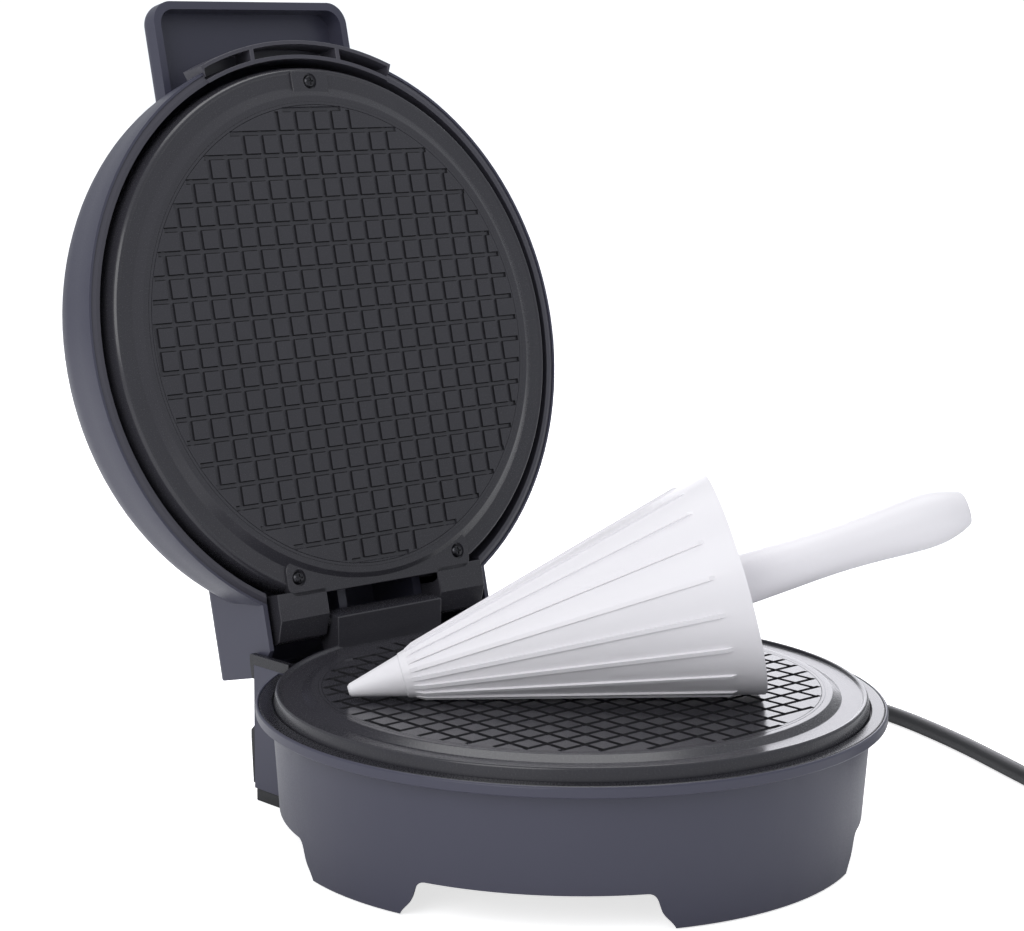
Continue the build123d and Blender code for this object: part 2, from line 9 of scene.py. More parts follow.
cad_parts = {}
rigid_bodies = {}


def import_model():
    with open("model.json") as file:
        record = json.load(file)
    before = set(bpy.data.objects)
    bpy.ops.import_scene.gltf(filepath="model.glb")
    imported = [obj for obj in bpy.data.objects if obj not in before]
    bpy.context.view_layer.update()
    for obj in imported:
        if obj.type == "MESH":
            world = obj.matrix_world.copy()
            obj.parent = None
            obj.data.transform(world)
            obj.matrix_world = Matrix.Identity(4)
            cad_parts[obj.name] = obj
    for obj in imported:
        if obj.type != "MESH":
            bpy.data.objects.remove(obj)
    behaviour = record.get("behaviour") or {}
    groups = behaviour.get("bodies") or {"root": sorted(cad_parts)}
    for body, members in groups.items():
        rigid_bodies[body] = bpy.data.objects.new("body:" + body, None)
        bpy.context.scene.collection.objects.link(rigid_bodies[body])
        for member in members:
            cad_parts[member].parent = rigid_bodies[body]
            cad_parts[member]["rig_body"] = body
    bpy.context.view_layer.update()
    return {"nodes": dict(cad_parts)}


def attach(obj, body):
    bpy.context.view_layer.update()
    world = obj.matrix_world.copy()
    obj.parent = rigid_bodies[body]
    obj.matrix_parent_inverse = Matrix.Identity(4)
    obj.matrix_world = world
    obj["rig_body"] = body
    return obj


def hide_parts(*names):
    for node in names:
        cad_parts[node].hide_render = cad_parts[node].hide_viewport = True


bl_info = {
    "name": "Waffle Cone Maker",
    "version": (1, 0, 0),
    "blender": (4, 5, 0),
    "location": "View3D > Sidebar > Cone Maker",
    "description": "Dresses the packed waffle cone maker with rounded pieces and finishes",
    "category": "Object",
}

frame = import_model()
NODES = frame["nodes"]

# Plates are drawn in millimetres about the middle of the base; the frame's origin lies behind it.
MM = 0.001
BASE_Y = -43.2
# The hinge pin, how far the lid stands open, and where the lid's own zero is when it is shut.
PIN_Y, PIN_Z, OPEN_ANGLE, LID_Z = 111.3, 67.0, 103.8, 65.2
# Heights of the cooking faces, and the circle where a plate's disc meets its ring.
LOWER_FACE, UPPER_FACE, PATTERN_EDGE = 58.9, -5.0, 93.0
# How the ring round each disc is rounded: width, the least angle of an edge, segments.
RING_SOFTENING = (0.28, 18, 2)
LATHE_STEPS, PEG_STEPS = 256, 48
# Half width of the slot at the back of the upper plate, and the outer side of its ears.
EAR_IN, EAR_OUT = 28.5, 52.3
# The upper plate's three screws.
SCREW_RADIUS, SCREW_ANGLES = 101.5, (-88.8, 66.3, 113.7)

# Sockets of a colour Mix node.
MIX_FACTOR, MIX_A, MIX_B, MIX_RESULT = 0, 6, 7, 2

PLACE_BASE = Matrix.Scale(MM, 4) @ Matrix.Translation((0, BASE_Y, 0))
PLACE_LID = (
    PLACE_BASE
    @ Matrix.Translation((0, PIN_Y, PIN_Z))
    @ Matrix.Rotation(math.radians(-OPEN_ANGLE), 4, "X")
    @ Matrix.Translation((0, -PIN_Y, LID_Z - PIN_Z))
)


# ---- sizes and colours --------------------------------------------------------------
class ConeMakerSizes(bpy.types.PropertyGroup):
    groove_pitch: FloatProperty(
        name="Groove pitch", description="Distance between waffle grooves", default=0.009, unit="LENGTH")
    groove_width: FloatProperty(
        name="Groove width", description="Width of a waffle groove", default=0.0021, unit="LENGTH")
    groove_depth: FloatProperty(
        name="Groove depth", description="Depth of a waffle groove", default=0.0008, unit="LENGTH")
    groove_radius: FloatProperty(
        name="Pattern radius", description="Radius of the waffle pattern", default=0.0912, unit="LENGTH")
    groove_count: IntProperty(
        name="Grooves each side", description="Grooves on each side of the middle one", default=10, min=1)
    plastic_edge: FloatProperty(
        name="Plastic edge", description="Edge radius of moulded parts", default=0.0004, unit="LENGTH")
    cord_radius: FloatProperty(
        name="Cord radius", description="Radius of the mains lead", default=0.0035, unit="LENGTH")


class ConeMakerColours(bpy.types.PropertyGroup):
    body: FloatVectorProperty(
        name="Body", description="Slate plastic of the housings", subtype="COLOR", size=3,
        default=(0.052, 0.052, 0.080))
    nonstick: FloatVectorProperty(
        name="Plates", description="Non-stick coating", subtype="COLOR", size=3,
        default=(0.034, 0.033, 0.040))
    trim: FloatVectorProperty(
        name="Trim", description="Dark rings and hinge cover", subtype="COLOR", size=3,
        default=(0.017, 0.0165, 0.021))
    roller: FloatVectorProperty(
        name="Roller", description="White plastic of the cone roller", subtype="COLOR", size=3,
        default=(0.86, 0.84, 0.87))
    ring: FloatVectorProperty(
        name="Lid ring", description="Ring and lip inside the lid", subtype="COLOR", size=3,
        default=(0.056, 0.054, 0.069))
    floor: FloatVectorProperty(
        name="Floor", description="Pale floor", subtype="COLOR", size=3, default=(0.93, 0.93, 0.94))


def sizes():
    """The scene's sizes."""
    return bpy.context.scene.cone_maker_sizes


def colours():
    """The scene's colours."""
    return bpy.context.scene.cone_maker_colours


def in_frame(point):
    """A point in metres about the middle of the base, moved into the frame."""
    return (point[0], point[1] + BASE_Y * MM, point[2])


# ---- shader groups ------------------------------------------------------------------
def new_group(name, inputs, outputs):
    """A shader group with its sockets, and its input and output nodes."""
    group = bpy.data.node_groups.new(name, "ShaderNodeTree")
    for label, kind, default in inputs:
        socket = group.interface.new_socket(name=label, in_out="INPUT", socket_type=kind)
        socket.default_value = default
    for label, kind in outputs:
        group.interface.new_socket(name=label, in_out="OUTPUT", socket_type=kind)
    return group, group.nodes.new("NodeGroupInput"), group.nodes.new("NodeGroupOutput")


def node(tree, kind, **values):
    """A new node; each value goes to the socket of that name, or else to the property."""
    made = tree.nodes.new(kind)
    for key, value in values.items():
        if key in made.inputs:
            made.inputs[key].default_value = value
        else:
            setattr(made, key, value)
    return made


def link(tree, *pairs):
    """Join each output to its input."""
    for out, into in pairs:
        tree.links.new(out, into)


def map_range(tree, from_min=0.0, from_max=1.0, to_min=0.0, to_max=1.0):
    """A Map Range node with its four ends set."""
    return node(tree, "ShaderNodeMapRange", **{
        "From Min": from_min, "From Max": from_max, "To Min": to_min, "To Max": to_max})


def grain_group():
    """Fine moulded or sprayed grain: a height, and a slow variation over the surface."""
    floats = "NodeSocketFloat"
    group, start, end = new_group(
        "surface_grain", [("Scale", floats, 1500.0), ("Fineness", floats, 0.6)],
        [("Height", floats), ("Variation", floats)])
    place = group.nodes.new("ShaderNodeTexCoord")
    fine = node(group, "ShaderNodeTexNoise", Detail=3.0)
    slow = node(group, "ShaderNodeTexNoise", Scale=24.0, Detail=4.0)
    link(group,
         (place.outputs["Object"], fine.inputs["Vector"]),
         (place.outputs["Object"], slow.inputs["Vector"]),
         (start.outputs["Scale"], fine.inputs["Scale"]),
         (start.outputs["Fineness"], fine.inputs["Roughness"]),
         (fine.outputs["Fac"], end.inputs["Height"]),
         (slow.outputs["Fac"], end.inputs["Variation"]))
    return group


def edge_group():
    """Mask of the edges, where a moulded or coated part is worn by rubbing and where an edge highlight is
    painted.
    """
    floats = "NodeSocketFloat"
    group, start, end = new_group("edge_rub_and_highlight", [("Amount", floats, 0.3)], [("Mask", floats)])
    soft = node(group, "ShaderNodeBevel", samples=4, Radius=0.0007)
    plain = group.nodes.new("ShaderNodeNewGeometry")
    dot = node(group, "ShaderNodeVectorMath", operation="DOT_PRODUCT")
    off = map_range(group, 0.995, 0.80)
    place = group.nodes.new("ShaderNodeTexCoord")
    patch = node(group, "ShaderNodeTexNoise", Scale=260.0, Detail=3.0)
    part = node(group, "ShaderNodeMath", operation="MULTIPLY")
    scaled = node(group, "ShaderNodeMath", operation="MULTIPLY")
    link(group,
         (soft.outputs["Normal"], dot.inputs[0]), (plain.outputs["Normal"], dot.inputs[1]),
         (dot.outputs["Value"], off.inputs["Value"]), (place.outputs["Object"], patch.inputs["Vector"]),
         (off.outputs["Result"], part.inputs[0]), (patch.outputs["Fac"], part.inputs[1]),
         (part.outputs["Value"], scaled.inputs[0]), (start.outputs["Amount"], scaled.inputs[1]),
         (scaled.outputs["Value"], end.inputs["Mask"]))
    return group


def dust_group():
    """Thin dust on faces that look up."""
    floats = "NodeSocketFloat"
    group, start, end = new_group("settled_dust", [("Amount", floats, 0.1)], [("Mask", floats)])
    plain = group.nodes.new("ShaderNodeNewGeometry")
    split = group.nodes.new("ShaderNodeSeparateXYZ")
    facing = map_range(group, 0.35)
    place = group.nodes.new("ShaderNodeTexCoord")
    speck = node(group, "ShaderNodeTexNoise", Scale=900.0, Detail=6.0, Roughness=0.7)
    few = map_range(group, 0.52, 0.75)
    part = node(group, "ShaderNodeMath", operation="MULTIPLY")
    scaled = node(group, "ShaderNodeMath", operation="MULTIPLY")
    link(group,
         (plain.outputs["Normal"], split.inputs[0]), (split.outputs["Z"], facing.inputs["Value"]),
         (place.outputs["Object"], speck.inputs["Vector"]), (speck.outputs["Fac"], few.inputs["Value"]),
         (facing.outputs["Result"], part.inputs[0]), (few.outputs["Result"], part.inputs[1]),
         (part.outputs["Value"], scaled.inputs[0]), (start.outputs["Amount"], scaled.inputs[1]),
         (scaled.outputs["Value"], end.inputs["Mask"]))
    return group


def placed_group(tree, name, build, **values):
    """A group node in a material; the group itself is built once."""
    made = tree.nodes.new("ShaderNodeGroup")
    made.node_tree = bpy.data.node_groups.get(name) or build()
    for key, value in values.items():
        made.inputs[key].default_value = value
    return made


# ---- finishes -----------------------------------------------------------------------
def finish(name, colour, rough, grain=1500.0, depth=0.00002, bump=0.25, mottle=0.12, spread=0.06,
           edge=0.15, dust=0.0, metal=0.0, specular=0.5, coat=0.0, light=None, subsurface=0.0):
    """A procedural finish: slow colour variation, fine grain in roughness and height, paler edges
    that stand for rubbing and a painted edge highlight, dust. The spread is how far the grain moves the
    roughness each way."""
    found = bpy.data.materials.get(name)
    if found:
        return found
    made = bpy.data.materials.new(name)
    made.use_nodes = True
    tree = made.node_tree
    bsdf = tree.nodes["Principled BSDF"]
    colour = tuple(colour)[:3]
    pale = tuple(min(1.0, c * (1 + mottle) + 0.002) for c in colour)
    dark = tuple(c * (1 - mottle) for c in colour)
    bright = light or tuple(min(1.0, c * 2.2 + 0.05) for c in colour)
    for key, value in (("Metallic", metal), ("Specular IOR Level", specular), ("Coat Weight", coat),
                       ("Coat Roughness", 0.1), ("Subsurface Weight", subsurface)):
        bsdf.inputs[key].default_value = value
    if subsurface:
        bsdf.inputs["Subsurface Radius"].default_value = (0.002, 0.002, 0.002)
    grains = placed_group(tree, "surface_grain", grain_group, Scale=grain)
    tone = node(tree, "ShaderNodeMix", data_type="RGBA")
    tone.inputs[MIX_A].default_value = (*dark, 1)
    tone.inputs[MIX_B].default_value = (*pale, 1)
    # Paler edges from the edge mask: rubbing, and a painted highlight along the edges.
    rubbed_and_highlit = node(tree, "ShaderNodeMix", data_type="RGBA")
    rubbed_and_highlit.inputs[MIX_B].default_value = (*bright, 1)
    edges = placed_group(tree, "edge_rub_and_highlight", edge_group, Amount=edge)
    satin = map_range(tree, 0.3, 0.7, rough - spread, rough + spread)
    height = node(tree, "ShaderNodeBump", Strength=bump, Distance=depth)
    link(tree,
         (grains.outputs["Variation"], tone.inputs[MIX_FACTOR]),
         (tone.outputs[MIX_RESULT], rubbed_and_highlit.inputs[MIX_A]),
         (edges.outputs["Mask"], rubbed_and_highlit.inputs[MIX_FACTOR]),
         (grains.outputs["Height"], satin.inputs["Value"]),
         (satin.outputs["Result"], bsdf.inputs["Roughness"]),
         (grains.outputs["Height"], height.inputs["Height"]),
         (height.outputs["Normal"], bsdf.inputs["Normal"]))
    last = rubbed_and_highlit.outputs[MIX_RESULT]
    if dust:
        dusty = node(tree, "ShaderNodeMix", data_type="RGBA")
        dusty.inputs[MIX_B].default_value = (0.55, 0.54, 0.53, 1)
        specks = placed_group(tree, "settled_dust", dust_group, Amount=dust)
        link(tree, (last, dusty.inputs[MIX_A]), (specks.outputs["Mask"], dusty.inputs[MIX_FACTOR]))
        last = dusty.outputs[MIX_RESULT]
    link(tree, (last, bsdf.inputs["Base Color"]))
    return made


def body_plastic():
    return finish("slate_satin_plastic", colours().body, 0.36, grain=1700.0, depth=0.00003, bump=0.18,
                  mottle=0.04, spread=0.05, edge=0.10, dust=0.02)


def black_plastic():
    return finish("black_moulded_plastic", (0.018, 0.018, 0.020), 0.45, dust=0.05)


def dark_trim():
    return finish("charcoal_trim_plastic", colours().trim, 0.26, grain=1900.0, bump=0.2, mottle=0.06,
                  edge=0.12)


def ring_plastic():
    return finish("slate_grey_ring_plastic", colours().ring, 0.34, grain=1900.0, bump=0.15, mottle=0.05,
                  edge=0.10)


def nonstick():
    return finish("sprayed_nonstick", colours().nonstick, 0.24, grain=2600.0, bump=0.20, mottle=0.10,
                  edge=0.25, light=(0.10, 0.10, 0.11))


# Darker, duller coating for the walls of the grooves: painted shade in the hollows.
def painted_groove_shade():
    return finish("groove_coating_painted_shade", tuple(c * 0.35 for c in colours().nonstick), 0.6, grain=2600.0,
                  mottle=0.1, edge=0.0, specular=0.25)


def roller_plastic():
    return finish("white_roller_plastic", colours().roller, 0.38, grain=1400.0, bump=0.15, mottle=0.015,
                  spread=0.05, edge=0.05, light=(0.86, 0.86, 0.86), subsurface=0.12)


def dark_screw():
    return finish("blackened_screw_steel", (0.045, 0.045, 0.05), 0.32, grain=3200.0, depth=0.00003,
                  metal=1.0, edge=0.5, light=(0.25, 0.25, 0.26))


def pin_steel():
    return finish("ground_pin_steel", (0.50, 0.50, 0.52), 0.25, grain=3600.0, depth=0.00001, metal=1.0,
                  edge=0.2)


def cord_rubber():
    return finish("black_cord_sheath", (0.012, 0.012, 0.014), 0.42, grain=1200.0, bump=0.2, mottle=0.15,
                  edge=0.0)


# ---- mesh helpers -------------------------------------------------------------------
def store(name, mesh, material, body, nodes):
    """A piece of the model that rides a body and replaces CAD nodes."""
    obj = bpy.data.objects.new(name, mesh)
    bpy.context.scene.collection.objects.link(obj)
    mesh.materials.clear()
    mesh.materials.append(material)
    even = obj.modifiers.new("even_shading", "WEIGHTED_NORMAL")
    even.keep_sharp, even.weight = True, 60
    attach(obj, body)
    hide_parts(*nodes)
    return obj


def bevel(bm, edges, width, segments):
    """Round these edges."""
    bmesh.ops.bevel(bm, geom=edges, offset=width, offset_type="OFFSET", segments=segments, profile=0.5,
                    affect="EDGES", clamp_overlap=True, material=-1)


def round_edges(bm, width, limit=32, segments=3):
    """Round every edge whose faces meet at more than the limit, in degrees."""
    sharp = [e for e in bm.edges
             if len(e.link_faces) == 2 and e.calc_face_angle(0) > math.radians(limit)]
    bevel(bm, sharp, width, segments)


def flatten(bm, limit):
    """Make flat faces whole where their parts turn by less than the limit, in degrees."""
    bmesh.ops.dissolve_limit(bm, angle_limit=math.radians(limit), verts=bm.verts, edges=bm.edges,
                             use_dissolve_boundaries=False)


def merged(source):
    """A copy of a CAD node's mesh with shared corners and its flat faces made whole."""
    bm = bmesh.new()
    bm.from_mesh(source.data)
    bmesh.ops.remove_doubles(bm, verts=bm.verts, dist=0.000002)
    flatten(bm, 0.25)
    return bm


def level_faces(bm):
    """Broad faces that aren't part of a curve: none of their neighbours turns by only a little."""
    bm.faces.index_update()
    found = []
    for face in bm.faces:
        round_about = sum(e.calc_length() for e in face.edges)
        if round_about and face.calc_area() / round_about > 0.0003:
            turns = [math.degrees(e.calc_face_angle(0)) for e in face.edges if len(e.link_faces) == 2]
            if not any(0.05 < turn < 8 for turn in turns):
                found.append(face.index)
    return found


def to_mesh(bm, name, smooth=32):
    """A smooth-shaded mesh, sharp past the angle given, with its broad faces kept flat."""
    mesh = bpy.data.meshes.new(name)
    level = level_faces(bm)
    bm.to_mesh(mesh)
    bm.free()
    mesh.shade_smooth()
    mesh.set_sharp_from_angle(angle=math.radians(smooth))
    for face in level:
        mesh.polygons[face].use_smooth = False
    return mesh


def baked(obj):
    """The object's mesh with its modifiers applied, as a new mesh."""
    graph = bpy.context.evaluated_depsgraph_get()
    return bpy.data.meshes.new_from_object(obj.evaluated_get(graph), depsgraph=graph)


def cut(mesh, cutters):
    """Subtract each cutter mesh in turn."""
    holder = bpy.data.objects.new("cut_body", mesh)
    bpy.context.scene.collection.objects.link(holder)
    for cutter_mesh in cutters:
        tool = bpy.data.objects.new("cut_tool", cutter_mesh)
        bpy.context.scene.collection.objects.link(tool)
        step = holder.modifiers.new("cut", "BOOLEAN")
        step.operation, step.solver, step.object = "DIFFERENCE", "EXACT", tool
        holder.data = baked(holder)
        holder.modifiers.clear()
        bpy.data.objects.remove(tool)
    result = holder.data
    bpy.data.objects.remove(holder)
    return result


def dressed(node_name, material, width=None):
    """Replace a CAD node by its own shape with rounded edges."""
    bm = merged(NODES[node_name])
    round_edges(bm, sizes().plastic_edge if width is None else width)
    mesh = to_mesh(bm, node_name + "_skin")
    return store(node_name + "_skin", mesh, material, NODES[node_name]["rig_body"], (node_name,))


def painted(node_name, material):
    """Keep a CAD node as it is, with a better finish."""
    mesh = NODES[node_name].data
    mesh.materials.clear()
    mesh.materials.append(material)


# ---- operators ----------------------------------------------------------------------
class CONEMAKER_OT_base(bpy.types.Operator):
    """Base housing, its trim ring, hinge cover, feet and bottom"""
    bl_idname = "conemaker.base"
    bl_label = "Base"

    def execute(self, context):
        dressed("base_shell", body_plastic())
        dressed("base_floor", black_plastic(), 0.0003)
        dressed("base_trim_ring", dark_trim(), 0.0004)
        dressed("hinge_cover", dark_trim(), 0.0003)
        dressed("rear_feet", black_plastic(), 0.0005)
        dressed("cord_bar", black_plastic(), 0.0004)
        pad = finish("grey_pad_rubber", (0.03, 0.03, 0.031), 0.8, grain=900.0, mottle=0.2, edge=0.05)
        dressed("rubber_pads", pad, 0.0005)
        dressed("floor_screws", dark_screw(), 0.0002)
        return {"FINISHED"}


def lathe(points):
    """Turn an (r, z) outline about Z into a closed skin."""
    bm = bmesh.new()
    spots = [bm.verts.new((r, 0, z)) for r, z in points]
    sides = [bm.edges.new(pair) for pair in zip(spots, spots[1:])]
    if points[0][0] > 0:
        sides.append(bm.edges.new((spots[-1], spots[0])))
    bmesh.ops.spin(bm, geom=spots + sides, cent=(0, 0, 0), axis=(0, 0, 1), steps=LATHE_STEPS,
                   angle=math.tau, use_merge=True)
    bmesh.ops.remove_doubles(bm, verts=bm.verts, dist=0.0001)
    bmesh.ops.recalc_face_normals(bm, faces=bm.faces)
    return bm


def bar(outline, x0, x1):
    """Prism along X of a (y, z) outline."""
    bm = bmesh.new()
    face = bm.faces.new([bm.verts.new((x0, y, z)) for y, z in outline])
    grown = bmesh.ops.extrude_face_region(bm, geom=[face])
    bmesh.ops.translate(bm, vec=(x1 - x0, 0, 0),
                        verts=[v for v in grown["geom"] if isinstance(v, bmesh.types.BMVert)])
    bmesh.ops.recalc_face_normals(bm, faces=bm.faces)
    return bm


def slab(low, high, upright=0.0):
    """Box between two corners, with its upright edges rounded."""
    bm = bmesh.new()
    made = bmesh.ops.create_cube(bm, size=1.0)
    for v in made["verts"]:
        v.co = Vector([low[i] if v.co[i] < 0 else high[i] for i in range(3)])
    if upright:
        posts = [e for e in bm.edges if abs((e.verts[0].co - e.verts[1].co).normalized().z) > 0.99]
        bevel(bm, posts, upright, 8)
    return bm


def peg(radius, z0, z1, x, y):
    """Upright round cutter."""
    bm = bmesh.new()
    bmesh.ops.create_cone(bm, cap_ends=True, segments=PEG_STEPS, radius1=radius, radius2=radius,
                          depth=z1 - z0, matrix=Matrix.Translation((x, y, (z0 + z1) / 2)))
    return bm


def as_mesh(bm):
    """Plain mesh of one shape, before it is cut or joined."""
    mesh = bpy.data.meshes.new("part")
    bm.to_mesh(mesh)
    bm.free()
    return mesh


def joined(meshes, place):
    """Several closed skins in one, moved to their place."""
    bm = bmesh.new()
    for mesh in meshes:
        bm.from_mesh(mesh)
    bmesh.ops.transform(bm, matrix=place, verts=bm.verts)
    return bm


def softened(mesh, width, limit=32, segments=3):
    """The mesh with its sharp edges rounded, in millimetres."""
    bm = bmesh.new()
    bm.from_mesh(mesh)
    round_edges(bm, width, limit, segments)
    return as_mesh(bm)


def groove_bars(face, up, across):
    """One set of parallel groove cutters with steep walls."""
    s = sizes()
    pitch, width, depth = s.groove_pitch / MM, s.groove_width / MM, s.groove_depth / MM
    radius, count = s.groove_radius / MM, s.groove_count
    draft = 0.2 if across else 0.04
    bm = bmesh.new()
    for k in range(-count, count + 1):
        at = k * pitch
        half = math.sqrt(max(radius ** 2 - at ** 2, 0))
        if not across:
            # Ends at the last groove it crosses, and stays inside the pattern.
            half = min(math.floor(half / pitch + 0.15) * pitch + width / 2, half)
        if half < pitch:
            continue
        made = bmesh.ops.create_cube(bm, size=1.0)
        for v in made["verts"]:
            top = v.co.z > 0
            side = math.copysign(width * (0.5 + draft if top else 0.5 - draft), v.co.x)
            end = math.copysign(half + (0.1 if top else -0.1), v.co.y)
            v.co = Vector((end, at + side, 0) if across else (at + side, end, 0))
            v.co.z = face + up * (depth if top else -depth)
    bmesh.ops.recalc_face_normals(bm, faces=bm.faces)
    return as_mesh(bm)


def waffled(mesh, face, up):
    """Cut both sets of grooves and the fine border circle, and round their edges a little."""
    r = sizes().groove_radius / MM + 0.6
    border = lathe([(r - 0.35, face + up), (r, face - up * 0.5), (r + 0.35, face + up)])
    shaped = cut(mesh, [groove_bars(face, up, True), groove_bars(face, up, False), as_mesh(border)])
    bm = bmesh.new()
    bm.from_mesh(shaped)
    flatten(bm, 0.1)
    round_edges(bm, 0.10, 24, 1)
    return as_mesh(bm)


def plate(node_name, meshes, place, face_normal):
    """Store a plate; the steep walls of its grooves take a darker, duller coating, painted shade of the
    hollow.
    """
    mesh = to_mesh(joined(meshes, place), node_name + "_skin", 30)
    store(node_name + "_skin", mesh, nonstick(), NODES[node_name]["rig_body"], (node_name,))
    mesh.materials.append(painted_groove_shade())
    middle = place @ Vector((0, 0, 0))
    axis = (place.to_3x3() @ Vector((0, 0, 1))).normalized()
    # Steep walls within the pattern take the darker coating: painted shade in the grooves.
    for face in mesh.polygons:
        lean = abs(face.normal.dot(face_normal))
        out = face.center - middle
        if lean < 0.95 and (out - axis * out.dot(axis)).length < sizes().groove_radius + 0.0001:
            face.material_index = 1


def pattern_disc(face, back):
    """The round middle of a plate, before its grooves are cut."""
    return as_mesh(lathe([(0, face), (PATTERN_EDGE, face), (PATTERN_EDGE, back), (0, back)]))


def lower_plate():
    """Waffled disc, the channel and rim round it, and the lug that stands at the hinge."""
    step, rim, seat, back = 57.0, 53.6, 51.6, 54.4
    disc = pattern_disc(LOWER_FACE, back)
    ring = as_mesh(lathe([
        (PATTERN_EDGE, LOWER_FACE), (95.5, LOWER_FACE), (99.2, step), (106.4, step), (107.2, 58.1),
        (108.1, 58.2), (108.7, 57.6), (109.4, rim), (109.4, seat), (106.8, seat), (106.8, back),
        (PATTERN_EDGE, back)]))
    lug = as_mesh(bar([(103.6, 52.4), (103.6, 69.7), (113.6, 70.3), (116.8, 68), (116.8, 62), (112, 52.4)],
                      -26.6, 26.6))
    shapes = [waffled(disc, LOWER_FACE, 1), softened(ring, *RING_SOFTENING), softened(lug, 0.5)]
    plate("lower_plate", shapes, PLACE_BASE, Vector((0, 0, 1)))


def upper_plate():
    """Waffled disc, its stepped ring, the pads under the screws and the two hinge ears."""
    step, back = -3.1, -0.5
    disc = pattern_disc(UPPER_FACE, back)
    ring = as_mesh(lathe([
        (PATTERN_EDGE, UPPER_FACE), (95.5, UPPER_FACE), (99.2, step), (104.6, step), (105.4, -3.5),
        (106.1, -3.4), (106.9, -2.4), (107.7, 0), (107.9, 8), (105.3, 8), (105.3, back),
        (PATTERN_EDGE, back)]))
    slot = as_mesh(slab((-EAR_IN, 100.2, -20), (EAR_IN, 130, 30)))
    shapes = [waffled(disc, UPPER_FACE, -1), cut(softened(ring, *RING_SOFTENING), [slot])]
    screws = [(SCREW_RADIUS * math.cos(math.radians(a)), SCREW_RADIUS * math.sin(math.radians(a)))
              for a in SCREW_ANGLES]
    front_x = screws[0][0]
    pads = [slab((-46.5, 86, -4), (46.5, 100.2, -0.6), 4.5),
            slab((front_x - 9, -105.6, -4), (front_x + 9, -94, -0.6), 0.8)]
    sinks = [as_mesh(peg(3.2, -9, -2.7, x, y)) for x, y in screws]
    shapes += [softened(cut(softened(as_mesh(pad), 0.3), sinks), 0.15, 60, 2) for pad in pads]
    ear = [(98, -4), (108.5, -4), (116.5, 0), (117.6, 3), (116.5, 6.8), (113, 8.2), (98, 8.2)]
    for low, high in ((-EAR_OUT, -EAR_IN), (EAR_IN, EAR_OUT)):
        shapes.append(softened(as_mesh(bar(ear, low, high)), 0.45))
    plate("upper_plate", shapes, PLACE_LID, (PLACE_LID.to_3x3() @ Vector((0, 0, 1))).normalized())


class CONEMAKER_OT_plates(bpy.types.Operator):
    """Both cooking plates with their waffle grooves, and the screws that hold them"""
    bl_idname = "conemaker.plates"
    bl_label = "Cooking plates"

    def execute(self, context):
        lower_plate()
        upper_plate()
        dressed("upper_plate_screws", dark_screw(), 0.00012)
        dressed("lower_plate_screws", dark_screw(), 0.00015)
        dressed("hinge_pin", pin_steel(), 0.0003)
        return {"FINISHED"}


class CONEMAKER_OT_lid(bpy.types.Operator):
    """Lid housing, its inner ring with the front pockets, and the two lights"""
    bl_idname = "conemaker.lid"
    bl_label = "Lid"

    def execute(self, context):
        dressed("lid_shell", body_plastic())
        dressed("lid_frame", ring_plastic(), 0.0003)
        dressed("grip", body_plastic(), 0.0006)
        red = finish("red_lens_plastic", (0.42, 0.02, 0.015), 0.2, grain=700.0, coat=0.6, edge=0.1)
        green = finish("green_lens_plastic", (0.02, 0.26, 0.04), 0.2, grain=700.0, coat=0.6, edge=0.1)
        dressed("power_light", red, 0.0002)
        dressed("ready_light", green, 0.0002)
        return {"FINISHED"}


class CONEMAKER_OT_roller(bpy.types.Operator):
    """Cone roller with its ribs and handle"""
    bl_idname = "conemaker.roller"
    bl_label = "Cone roller"

    def execute(self, context):
        dressed("roller_cone", roller_plastic(), 0.0006)
        dressed("roller_handle", roller_plastic(), 0.0004)
        return {"FINISHED"}


class CONEMAKER_OT_heating(bpy.types.Operator):
    """Heaters and their fittings inside both housings"""
    bl_idname = "conemaker.heating"
    bl_label = "Heating parts"

    def execute(self, context):
        sheath = finish("heat_tinted_sheath", (0.16, 0.13, 0.10), 0.4, grain=1800.0, metal=1.0, mottle=0.3)
        rolled = finish("rolled_clamp_steel", (0.45, 0.45, 0.44), 0.35, grain=2200.0, metal=1.0)
        bright = finish("bright_reflector_sheet", (0.75, 0.75, 0.76), 0.22, grain=900.0, metal=1.0,
                        mottle=0.05)
        cap = finish("pressed_thermostat_cap", (0.62, 0.62, 0.60), 0.3, grain=1600.0, metal=1.0)
        sleeve = finish("woven_fuse_sleeve", (0.62, 0.56, 0.42), 0.8, grain=1100.0, depth=0.0001, bump=0.6)
        cream = finish("cream_terminal_plastic", (0.62, 0.58, 0.46), 0.5, grain=1300.0, dust=0.1)
        for side in ("lower_", "upper_"):
            painted(side + "heater", sheath)
            painted(side + "clamps", rolled)
            painted(side + "clamp_screws", dark_screw())
            painted(side + "reflector", bright)
            painted(side + "thermostat", cap)
            painted(side + "thermal_fuse", sleeve)
        painted("terminal_block", cream)
        return {"FINISHED"}


# The lead in metres about the middle of the base: from its exit round the right side to the coil,
# and from the coil to the plug.
CORD_ROUTE = (
    (0.038, 0.146, 0.019), (0.040, 0.178, 0.014), (0.058, 0.210, 0.0042), (0.098, 0.228, 0.0035),
    (0.142, 0.218, 0.0035), (0.180, 0.186, 0.0035), (0.206, 0.140, 0.0035), (0.221, 0.088, 0.0035),
    (0.221, 0.034, 0.0035), (0.206, -0.018, 0.0035), (0.186, -0.066, 0.0035), (0.170, -0.1055, 0.0035),
)
CORD_TAIL = (
    (0.2296, -0.1535, 0.0105), (0.247, -0.142, 0.0106), (0.262, -0.122, 0.0084), (0.268, -0.098, 0.007),
    (0.267, -0.072, 0.007),
)
